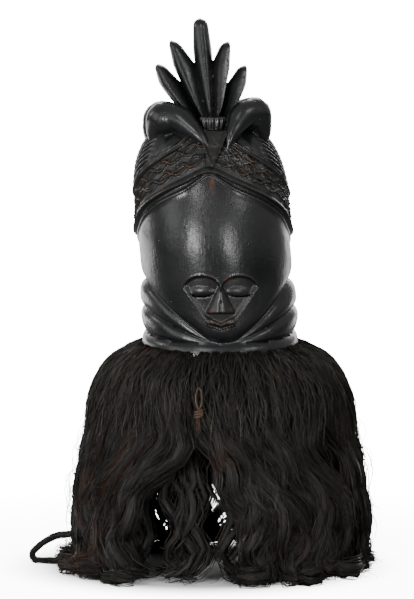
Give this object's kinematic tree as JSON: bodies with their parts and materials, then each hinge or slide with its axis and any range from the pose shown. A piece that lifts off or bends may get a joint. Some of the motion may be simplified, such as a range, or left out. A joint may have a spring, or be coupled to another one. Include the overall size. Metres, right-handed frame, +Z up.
{
  "type": "sowei helmet mask",
  "caption": "Hollow carved wooden helmet mask with a small calm face, neck rolls, latticed hair, curled lobes and a fan crest, standing on a skirt of dark raffia hanks.",
  "frame": {"origin": "middle of the footprint, on the floor", "axes": "+Z up, the face looks along -Y, +X is to the right of someone who faces the mask"},
  "size_m": [0.4626, 0.3879, 0.7454],
  "materials": {
    "wood": "blackened, oiled and hand polished, with brown wear on the raised edges",
    "raffia": "dark dyed raffia fibre, matt with dull strand highlights",
    "tie": "brown raffia strip, matt"
  },
  "bodies": {
    "root": {"helmet_mask": "wood", "raffia_hank_01": "raffia", "raffia_hank_02": "raffia", "raffia_hank_03": "raffia", "raffia_hank_04": "raffia", "raffia_hank_05": "raffia", "raffia_hank_06": "raffia", "raffia_hank_07": "raffia", "raffia_hank_08": "raffia", "raffia_hank_09": "raffia", "raffia_hank_10": "raffia", "raffia_hank_11": "raffia", "raffia_hank_12": "raffia", "raffia_hank_13": "raffia", "raffia_hank_14": "raffia", "raffia_hank_15": "raffia", "raffia_hank_16": "raffia", "raffia_hank_17": "raffia", "raffia_hank_18": "raffia", "raffia_hank_19": "raffia", "raffia_hank_20": "raffia", "raffia_hank_21": "raffia", "raffia_hank_22": "raffia", "raffia_hank_23": "raffia", "raffia_inner_hank_01": "raffia", "raffia_inner_hank_02": "raffia", "raffia_inner_hank_03": "raffia", "raffia_inner_hank_04": "raffia", "raffia_inner_hank_05": "raffia", "raffia_inner_hank_06": "raffia", "raffia_inner_hank_07": "raffia", "raffia_inner_hank_08": "raffia", "raffia_inner_hank_09": "raffia", "raffia_inner_hank_10": "raffia", "raffia_inner_hank_11": "raffia", "raffia_inner_hank_12": "raffia", "raffia_floor_loop": "raffia", "raffia_tie": "tie"}
  },
  "joints": []
}
